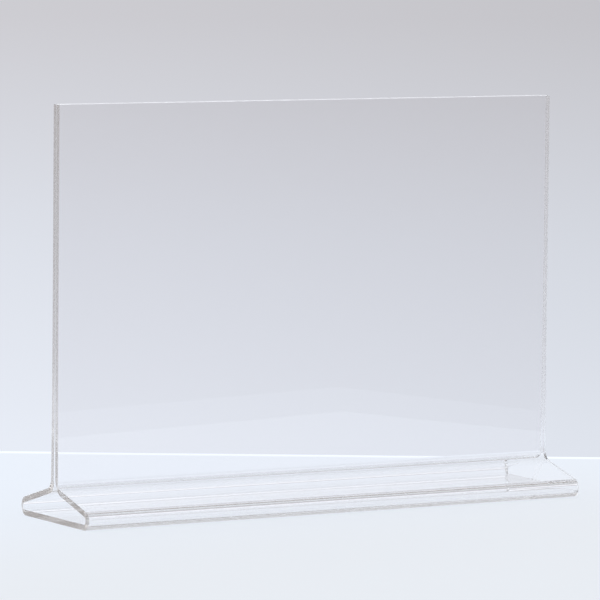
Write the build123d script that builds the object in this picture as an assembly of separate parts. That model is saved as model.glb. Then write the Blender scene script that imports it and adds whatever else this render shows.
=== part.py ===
from build123d import *
import os
from math import acos, asin, atan2, cos, hypot, pi, sin

# Free-standing print holder, bent from one clear acrylic strip: two tall walls side by side on a
# closed triangular foot. Millimetres. The origin is the middle of the underside, X runs along the
# bends, the front faces -Y and +Z is up.

# ---- driving dimensions ----

length = 300.0          # along the bends, the same for every flat and bend
height = 215.0          # underside of the base plate to the free top edges
depth = 74.0            # over the outsides of the two base bends
sheet = 3.0             # acrylic thickness

neck_height = 21.5      # where the walls leave the neck bends
neck_gap = 1.5          # between the walls at that height
lip_gap = 0.2           # between the walls from closing_height to the top
closing_height = 120.0  # where the walls have come together

base_radius = 2.0       # inside radius of the bends that lie on the ground
neck_radius = 4.5       # inside radius of the bends under the walls


# ---- half of the strip in section: X is outward from the middle, Y is up ----

def towards(angle):
    """Unit vector, its angle in radians up from the outward direction."""
    return Vector(cos(angle), sin(angle))


# Below closing_height a wall is a very large arc, upright where the two walls have come together.
closing_point = Vector(lip_gap / 2, closing_height)
closing_rise = closing_height - neck_height
spread = (neck_gap - lip_gap) / 2
bow_radius = (closing_rise**2 + spread**2) / (2 * spread)
bow_centre = closing_point + towards(0) * bow_radius
wall_foot = Vector(neck_gap / 2, neck_height)
wall_across = towards(asin(closing_rise / bow_radius))

# A neck bend carries on from the foot of its wall and turns outward.
neck_centre = wall_foot + wall_across * (sheet + neck_radius)

# A base bend lies on the ground and reaches half the depth.
base_bend_size = base_radius + sheet
base_centre = Vector(depth / 2 - base_bend_size, base_bend_size)

# A ramp's upper face touches the neck bend's inside from below and the base bend's outside from above.
run = base_centre.X - neck_centre.X
rise = neck_centre.Y - base_centre.Y
ramp_slope = acos((neck_radius + base_bend_size) / hypot(run, rise)) - atan2(run, rise)
ramp_up = towards(pi / 2 - ramp_slope)


def arc(centre, radius, start, end):
    """Arc about a centre, the short way from one direction to another."""
    middle = (start + end).normalized()
    return ThreePointArc(centre + start * radius, centre + middle * radius, centre + end * radius)


def wall():
    """Upright flat with square-cut edges, and a barely curved lower stretch."""
    inward = towards(pi)
    to_top = Vector(0, height - closing_height)
    across = towards(0) * sheet
    return [
        arc(bow_centre, bow_radius, -wall_across, inward),
        Polyline(closing_point, closing_point + to_top, closing_point + to_top + across, closing_point + across),
        arc(bow_centre, bow_radius - sheet, inward, -wall_across),
        Line(wall_foot + wall_across * sheet, wall_foot),
    ]


def bend(centre, inside, start, end):
    """Concentric arcs a sheet apart, joined by square cuts."""
    outside = inside + sheet
    return [
        arc(centre, outside, start, end),
        Line(centre + end * outside, centre + end * inside),
        arc(centre, inside, end, start),
        Line(centre + start * inside, centre + start * outside),
    ]


def ramp():
    """Sloping flat between the neck bend and the base bend."""
    return Polyline(
        neck_centre - ramp_up * neck_radius,
        base_centre + ramp_up * base_bend_size,
        base_centre + ramp_up * base_radius,
        neck_centre - ramp_up * (neck_radius + sheet),
        close=True,
    )


# ---- the strip's flats and bends as solids ----

half_section = Plane(origin=(length / 2, 0, 0), x_dir=(0, -1, 0), z_dir=(-1, 0, 0))


def drawn(outline):
    """Solid of the front half with this outline, over the whole length."""
    return extrude(half_section * make_face(outline), amount=length)


front_half = {
    "wall": drawn(wall()),
    "neck_bend": drawn(bend(neck_centre, neck_radius, -wall_across, -ramp_up)),
    "ramp": drawn(ramp()),
    "base_bend": drawn(bend(base_centre, base_radius, ramp_up, towards(-pi / 2))),
}

nodes = {"base_plate": Box(length, 2 * base_centre.X, sheet, align=(Align.CENTER, Align.CENTER, Align.MIN))}
for name, solid in front_half.items():
    nodes[f"front_{name}"] = solid
    nodes[f"rear_{name}"] = mirror(solid, about=Plane.XZ)

os.makedirs("parts", exist_ok=True)
for name, solid in nodes.items():
    solid.label = name
    export_step(solid, f"parts/{name}.step")
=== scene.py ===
"""Looks of the clear acrylic print holder: one bent strip on a pale tabletop, in soft studio light."""

from math import acos, asin, atan2, copysign, cos, pi, radians, sin

import bpy
from mathutils import Matrix, Vector


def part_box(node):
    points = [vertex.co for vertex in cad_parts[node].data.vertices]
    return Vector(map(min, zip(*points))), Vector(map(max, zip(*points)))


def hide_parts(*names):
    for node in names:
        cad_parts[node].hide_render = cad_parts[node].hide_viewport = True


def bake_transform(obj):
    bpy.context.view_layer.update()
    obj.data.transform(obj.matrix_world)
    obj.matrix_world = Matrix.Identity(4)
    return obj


MM = 0.001

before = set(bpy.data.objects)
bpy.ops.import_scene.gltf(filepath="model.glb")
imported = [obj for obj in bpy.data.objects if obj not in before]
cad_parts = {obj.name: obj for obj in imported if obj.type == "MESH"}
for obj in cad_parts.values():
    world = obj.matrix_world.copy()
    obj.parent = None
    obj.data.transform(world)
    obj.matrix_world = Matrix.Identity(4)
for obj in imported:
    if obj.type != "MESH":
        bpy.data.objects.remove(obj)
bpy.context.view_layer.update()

# ---- sizes from the frame, in metres ----

low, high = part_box("front_wall")
LENGTH = high.x - low.x
TOP = high.z
NECK_HEIGHT = low.z
LIP_HALF_GAP = -high.y
wall_outside = -low.y
low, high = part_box("base_plate")
SHEET = high.z
BASE_REACH = high.y
NECK_HALF_GAP = wall_outside - SHEET
low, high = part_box("rear_base_bend")
BASE_RADIUS = high.y - low.y - SHEET

# ---- sizes that no box gives ----

CLOSING_HEIGHT = 120 * MM       # where the two walls have come together
NECK_RADIUS = 4.5 * MM          # inside radius of the bends under the walls
ARRIS = 0.15 * MM               # flat knocked off the corners of the cut edges
SHARP_ANGLE = radians(25)       # faces that meet at more than this are shaded apart
BASE_SQUEEZE = 0.35 * MM        # how far the ends stand proud inside a base bend
NECK_SQUEEZE = 0.30 * MM        # the same at a neck bend
HEATED_BELOW = 24 * MM          # the heat of bending streaks the faces up to here
CLEAR_ABOVE = 36 * MM           # and leaves them as cast from here up

# ---- how finely the strip is divided ----

BASE_STEPS = 128
NECK_STEPS = 64
FLAT_STEPS = 24
WALL_STEPS = 32
LENGTH_STEPS = 24
EDGE_STEPS = 4


# ---- half of the strip in section: x is outward from the middle, y is up ----


def towards(angle):
    """Unit vector, its angle in radians up from the outward direction."""
    return Vector((cos(angle), sin(angle)))


def spread(start, end, steps):
    """Values from start to end in equal steps, both ends included."""
    return [start + (end - start) * i / steps for i in range(steps + 1)]


def bend_stations(centre, radius, start, end, steps, squeeze):
    """Stations round a bend. radius is the middle line's, and below 0 where the outer face is inside."""
    stations = []
    for i in range(1, steps + 1):
        share = i / steps
        normal = towards(start + (end - start) * share)
        stations.append((centre + normal * radius, normal, squeeze * sin(pi * share) ** 0.5))
    return stations


def section():
    """Stations along the strip's middle line, from the middle of the base plate up to the free edge.
    Each is a point, the unit normal of the strip's outer face, and how far bending has squeezed its
    two ends: they stand proud opposite the outer face and are drawn in beside it."""
    rise = CLOSING_HEIGHT - NECK_HEIGHT
    half_spread = NECK_HALF_GAP - LIP_HALF_GAP
    bow_radius = (rise**2 + half_spread**2) / (2 * half_spread)
    bow_centre = Vector((LIP_HALF_GAP + bow_radius, CLOSING_HEIGHT))
    bow_angle = asin(rise / bow_radius)
    neck_line = NECK_RADIUS + SHEET / 2
    neck_centre = Vector((NECK_HALF_GAP, NECK_HEIGHT)) + towards(bow_angle) * (SHEET + NECK_RADIUS)
    base_line = BASE_RADIUS + SHEET / 2
    base_centre = Vector((BASE_REACH, BASE_RADIUS + SHEET))
    across = neck_centre - base_centre
    slope = acos((neck_line + base_line) / across.length) - atan2(-across.x, across.y)
    up = pi / 2 - slope

    stations = [(Vector((x, SHEET / 2)), towards(-pi / 2), 0) for x in spread(0, BASE_REACH, FLAT_STEPS)]
    stations += bend_stations(base_centre, base_line, -pi / 2, up, BASE_STEPS, BASE_SQUEEZE)
    ramp_start = stations[-1][0]
    ramp_end = neck_centre - towards(up) * neck_line
    for share in spread(0, 1, FLAT_STEPS)[1:]:
        stations.append((ramp_start.lerp(ramp_end, share), towards(up), 0))
    stations += bend_stations(neck_centre, -neck_line, up, bow_angle, NECK_STEPS, -NECK_SQUEEZE)
    stations += bend_stations(bow_centre, SHEET / 2 - bow_radius, bow_angle, 0, WALL_STEPS, 0)
    for z in spread(CLOSING_HEIGHT, TOP - ARRIS, WALL_STEPS)[1:]:
        stations.append((Vector((LIP_HALF_GAP + SHEET / 2, z)), towards(0), 0))
    return stations


# ---- the strip as a mesh ----


def cross_loop(inset):
    """The strip's cross-section as points of (along, through), its corners cut off. inset pulls it in."""
    half_length = LENGTH / 2 - inset
    half_sheet = SHEET / 2 - inset
    loop = []
    for side in (1, -1):
        for x in spread(ARRIS - half_length, half_length - ARRIS, LENGTH_STEPS):
            loop.append((x * side, half_sheet * side))
        for t in spread(half_sheet - ARRIS, ARRIS - half_sheet, EDGE_STEPS):
            loop.append((half_length * side, t * side))
    return loop


def strip_points(facing):
    """Rings of points along the strip, the last one pulled in round the free edge."""
    rings = [(*station, 0) for station in section()]
    point, normal, squeeze, inset = rings[-1]
    rings.append((point + Vector((0, ARRIS)), normal, squeeze, ARRIS))
    points = []
    for point, normal, squeeze, inset in rings:
        for x, t in cross_loop(inset):
            if abs(x) > LENGTH / 2 - 2 * ARRIS:
                x -= copysign(1, x) * squeeze * t / (SHEET / 2)
            at = point + normal * t
            points.append((x, at.x * facing, at.y))
    return points


def half_strip(name, facing, face_material, edge_material):
    """One half of the strip, open where it meets the other. facing is -1 in front and 1 at the rear."""
    points = strip_points(facing)
    around = len(cross_loop(0))
    rings = len(points) // around
    faces = []
    is_edge = []
    for ring in range(rings - 1):
        here = ring * around
        beyond = here + around
        for i in range(around):
            j = (i + 1) % around
            faces.append([here + i, here + j, beyond + j, beyond + i])
            is_edge.append(ring == rings - 2 or i % (around // 2) >= LENGTH_STEPS)
    faces.append(list(range((rings - 1) * around, rings * around)))
    is_edge.append(True)
    if facing > 0:
        faces = [face[::-1] for face in faces]

    mesh = bpy.data.meshes.new(name)
    mesh.from_pydata(points, [], faces)
    mesh.materials.append(face_material)
    mesh.materials.append(edge_material)
    for polygon, edge in zip(mesh.polygons, is_edge):
        polygon.use_smooth = True
        polygon.material_index = int(edge)
    mesh.set_sharp_from_angle(angle=SHARP_ANGLE)
    strip = bpy.data.objects.new(name, mesh)
    bpy.context.collection.objects.link(strip)
    return strip


# ---- materials ----

ACRYLIC_IOR = 1.49


def new_material(name):
    material = bpy.data.materials.new(name)
    material.use_nodes = True
    return material, material.node_tree, material.node_tree.nodes["Principled BSDF"]


def noise(tree, per_metre, detail):
    """Noise over the object's own coordinates, with this many grains to the metre along X, Y and Z."""
    coords = tree.nodes.new("ShaderNodeTexCoord")
    mapping = tree.nodes.new("ShaderNodeMapping")
    mapping.inputs["Scale"].default_value = per_metre
    texture = tree.nodes.new("ShaderNodeTexNoise")
    texture.inputs["Scale"].default_value = 1
    texture.inputs["Detail"].default_value = detail
    tree.links.new(coords.outputs["Object"], mapping.inputs["Vector"])
    tree.links.new(mapping.outputs["Vector"], texture.inputs["Vector"])
    return texture.outputs["Fac"]


def from_to(tree, value, low, high, at_low, at_high):
    """Value carried from the range low to high over to the range at_low to at_high, and held at its ends."""
    carry = tree.nodes.new("ShaderNodeMapRange")
    carry.interpolation_type = "SMOOTHSTEP"
    carry.inputs["From Min"].default_value = low
    carry.inputs["From Max"].default_value = high
    carry.inputs["To Min"].default_value = at_low
    carry.inputs["To Max"].default_value = at_high
    tree.links.new(value, carry.inputs["Value"])
    return carry.outputs["Result"]


def height_above_ground(tree):
    coords = tree.nodes.new("ShaderNodeTexCoord")
    split = tree.nodes.new("ShaderNodeSeparateXYZ")
    tree.links.new(coords.outputs["Object"], split.inputs["Vector"])
    return split.outputs["Z"]


def bump(tree, height, depth, strength=None, under=None):
    """Normal of a surface with this relief. depth is in metres, and under is a relief it lies on."""
    node = tree.nodes.new("ShaderNodeBump")
    node.inputs["Distance"].default_value = depth
    tree.links.new(height, node.inputs["Height"])
    if strength:
        tree.links.new(strength, node.inputs["Strength"])
    if under:
        tree.links.new(under, node.inputs["Normal"])
    return node.outputs["Normal"]


def clear_acrylic():
    """Cast sheet: nearly flat, with faint handling haze, and heat streaks along the bends in the foot."""
    material, tree, shader = new_material("clear_acrylic")
    shader.inputs["Base Color"].default_value = (0.995, 0.992, 0.996, 1)
    shader.inputs["IOR"].default_value = ACRYLIC_IOR
    shader.inputs["Transmission Weight"].default_value = 1.0
    haze = from_to(tree, noise(tree, (30, 30, 45), 5), 0.55, 0.75, 0.0, 0.03)
    tree.links.new(haze, shader.inputs["Roughness"])
    cast = bump(tree, noise(tree, (35, 35, 35), 0), 5e-6)
    heated = from_to(tree, height_above_ground(tree), HEATED_BELOW, CLEAR_ABOVE, 1, 0)
    streaks = bump(tree, noise(tree, (4, 130, 130), 1), 7e-6, strength=heated, under=cast)
    tree.links.new(streaks, shader.inputs["Normal"])
    return material


def cut_edge():
    """Scraped saw cut: clear enough to carry light, with faint cutter chatter and duller patches."""
    material, tree, shader = new_material("cut_edge")
    shader.inputs["Base Color"].default_value = (0.88, 0.845, 0.82, 1)
    shader.inputs["IOR"].default_value = ACRYLIC_IOR
    shader.inputs["Transmission Weight"].default_value = 0.95
    dullness = from_to(tree, noise(tree, (250, 250, 250), 3), 0.35, 0.7, 0.10, 0.18)
    tree.links.new(dullness, shader.inputs["Roughness"])
    chatter = bump(tree, noise(tree, (60, 120, 40), 3), 2e-6)
    tree.links.new(chatter, shader.inputs["Normal"])
    return material


# ---- the holder ----

acrylic = clear_acrylic()
edge = cut_edge()
for side, facing in (("front", -1), ("rear", 1)):
    strip = half_strip(f"{side}_half_strip", facing, acrylic, edge)
    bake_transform(strip)
    nodes = [f"{side}_{piece}" for piece in ("wall", "neck_bend", "ramp", "base_bend")]
    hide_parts(*nodes, "base_plate")

# ---- camera ----

VIEW_AZIMUTH = radians(30.89)   # to the right of +Y
VIEW_PITCH = radians(5.13)      # downward
VIEW_ROLL = radians(0.58)
VIEW_DISTANCE = 2.5413
VIEW_TARGET = Vector((-4.35 * MM, 0, 109.5 * MM))
LENS = 289.5
SENSOR = 36

AHEAD = Vector((sin(VIEW_AZIMUTH), cos(VIEW_AZIMUTH), 0))
ASIDE = Vector((cos(VIEW_AZIMUTH), -sin(VIEW_AZIMUTH), 0))


def add_camera():
    forward = AHEAD * cos(VIEW_PITCH) - Vector((0, 0, sin(VIEW_PITCH)))
    right = ASIDE * cos(VIEW_ROLL) + ASIDE.cross(forward) * sin(VIEW_ROLL)
    turned = Matrix((right, right.cross(forward), -forward)).transposed().to_4x4()
    data = bpy.data.cameras.new("camera")
    data.lens = LENS
    data.sensor_width = SENSOR
    data.clip_end = 50
    camera = bpy.data.objects.new("camera", data)
    camera.matrix_world = Matrix.Translation(VIEW_TARGET - forward * VIEW_DISTANCE) @ turned
    bpy.context.collection.objects.link(camera)
    bpy.context.scene.camera = camera


# ---- tabletop ----

TABLE_BACK = 0.225              # its far edge, ahead of the holder's middle
TABLE_CORNERS = ((-0.66, -0.80), (-0.229, 0.472), (TABLE_BACK, 0.35), (TABLE_BACK, -0.80))  # ahead, aside
TABLE_THICKNESS = 20 * MM
TABLE_CLEARANCE = 0.02 * MM
# painted highlight: a band about this wide along the far edge emits this many times brighter
RIM_HIGHLIGHT_WIDTH = 9 * MM
RIM_HIGHLIGHT_GAIN = 1.2


def along(tree, vector, direction):
    """How far a vector goes in this direction."""
    product = tree.nodes.new("ShaderNodeVectorMath")
    product.operation = "DOT_PRODUCT"
    product.inputs[1].default_value = direction
    tree.links.new(vector, product.inputs[0])
    return product.outputs["Value"]


def ramp_of(tree, share, stops):
    """Colour from stops of (share, colour)."""
    ramp = tree.nodes.new("ShaderNodeValToRGB")
    tree.links.new(share, ramp.inputs["Fac"])
    elements = ramp.color_ramp.elements
    elements.remove(elements[1])
    elements[0].position = stops[0][0]
    elements[0].color = (*stops[0][1], 1)
    for position, colour in stops[1:]:
        elements.new(position).color = (*colour, 1)
    return ramp.outputs["Color"]


def painted_light_tabletop():
    """White laminate that emits its own brightness, painted light standing in for light from all round,
    painted cooler and brighter to the far left, with a painted highlight along the far edge.
    """
    material, tree, shader = new_material("painted_light_tabletop")
    # painted light: little real diffuse colour, so the emission below outweighs real light and shade on the
    # top
    shader.inputs["Base Color"].default_value = (0.12, 0.12, 0.12, 1)
    shader.inputs["Roughness"].default_value = 0.6
    shader.inputs["Specular IOR Level"].default_value = 0
    coords = tree.nodes.new("ShaderNodeTexCoord")
    distance = along(tree, coords.outputs["Object"], AHEAD)
    askew = along(tree, coords.outputs["Object"], AHEAD - 0.8 * ASIDE)
    share = from_to(tree, askew, -TABLE_BACK, TABLE_BACK, 0, 1)
    # painted light: the emitted colour, cooler and brighter to the far left, stands in for light falling on
    # the top
    painted_light_colour = ramp_of(tree, share, ((0, (0.72, 0.755, 0.805)), (1, (0.745, 0.80, 0.885))))
    tree.links.new(painted_light_colour, shader.inputs["Emission Color"])
    # painted highlight: emission raised along the far edge of the top
    painted_rim_highlight = from_to(tree, distance, TABLE_BACK - 1.3 * RIM_HIGHLIGHT_WIDTH, TABLE_BACK - 0.7 * RIM_HIGHLIGHT_WIDTH, 1, RIM_HIGHLIGHT_GAIN)
    tree.links.new(painted_rim_highlight, shader.inputs["Emission Strength"])
    return material


def add_tabletop():
    top = [AHEAD * ahead + ASIDE * aside for ahead, aside in TABLE_CORNERS]
    below = Vector((0, 0, -TABLE_THICKNESS))
    sides = [(i, (i + 1) % 4, (i + 1) % 4 + 4, i + 4) for i in range(4)]
    mesh = bpy.data.meshes.new("tabletop")
    mesh.from_pydata(top + [corner + below for corner in top], [], [(3, 2, 1, 0), (4, 5, 6, 7), *sides])
    mesh.materials.append(painted_light_tabletop())
    table = bpy.data.objects.new("tabletop", mesh)
    table.location.z = -TABLE_CLEARANCE
    bpy.context.collection.objects.link(table)


# ---- studio light ----

# Colours by the height of a direction, -1 straight down and 1 straight up.
BACKDROP = (
    (-1, (0.80, 0.84, 0.92)),
    (-0.122, (0.80, 0.84, 0.92)),
    (-0.075, (0.71, 0.735, 0.80)),
    (-0.03, (0.60, 0.595, 0.63)),
    (0.02, (0.60, 0.60, 0.63)),
    (0.03, (1.40, 1.42, 1.50)),
    (0.07, (1.40, 1.42, 1.50)),
    (0.08, (0.58, 0.58, 0.61)),
    (0.1, (0.58, 0.58, 0.61)),
    (0.16, (0.94, 0.98, 1.04)),
    (0.3, (0.80, 0.84, 0.90)),
    (0.42, (0.87, 0.91, 0.98)),
    (0.6, (1.03, 1.07, 1.14)),
    (0.72, (0.5, 0.48, 0.47)),
)
ROOM = (
    (-1, (0.62, 0.63, 0.66)),
    (-0.13, (0.62, 0.63, 0.66)),
    (-0.09, (0.50, 0.50, 0.52)),
    (-0.04, (0.35, 0.33, 0.32)),
    (0.12, (0.32, 0.30, 0.29)),
    (0.25, (0.90, 0.93, 0.98)),
    (0.52, (1.00, 1.03, 1.08)),
    (0.62, (0.34, 0.31, 0.29)),
)
LAMP_TOWARDS = Vector((0, 0, 1))
LAMP_RIM = (0.92, 0.95)         # cosines of the angle from its middle where the lamp starts and is full
LAMP_RADIANCE = 2.5
BEHIND = (0.1, 0.6)             # how far ahead a direction points where the room gives way to the backdrop


def mixed(tree, factor, first, second):
    mix = tree.nodes.new("ShaderNodeMix")
    mix.data_type = "RGBA"
    mix.blend_type = "MIX"
    tree.links.new(factor, mix.inputs["Factor"])
    tree.links.new(first, mix.inputs[6])
    if isinstance(second, float):
        mix.inputs[7].default_value = (second, second, second, 1)
    else:
        tree.links.new(second, mix.inputs[7])
    return mix.outputs[2]


def add_world():
    """A pale backdrop behind the holder, a dimmer room in front, and a soft lamp overhead."""
    world = bpy.data.worlds.new("studio")
    world.use_nodes = True
    tree = world.node_tree
    coords = tree.nodes.new("ShaderNodeTexCoord")
    direction = coords.outputs["Generated"]
    height = from_to(tree, along(tree, direction, (0, 0, 1)), -1, 1, 0, 1)
    height.node.interpolation_type = "LINEAR"
    backdrop = ramp_of(tree, height, [((z + 1) / 2, colour) for z, colour in BACKDROP])
    room = ramp_of(tree, height, [((z + 1) / 2, colour) for z, colour in ROOM])
    behind = from_to(tree, along(tree, direction, AHEAD), *BEHIND, 0, 1)
    around = mixed(tree, behind, room, backdrop)
    lamp = from_to(tree, along(tree, direction, LAMP_TOWARDS), *LAMP_RIM, 0, 1)
    background = tree.nodes["Background"]
    tree.links.new(mixed(tree, lamp, around, LAMP_RADIANCE), background.inputs["Color"])
    uneven = from_to(tree, along(tree, direction, ASIDE), -0.15, 0.15, 1.05, 0.90)
    tree.links.new(uneven, background.inputs["Strength"])
    bpy.context.scene.world = world


add_camera()
add_tabletop()
add_world()

scene = bpy.context.scene
scene.view_settings.view_transform = "Standard"
# Light runs the whole length of the strip by bouncing between its faces, so paths stay long.
scene.cycles.max_bounces = 400
scene.cycles.transmission_bounces = 400
scene.cycles.glossy_bounces = 400
scene.cycles.transparent_max_bounces = 32
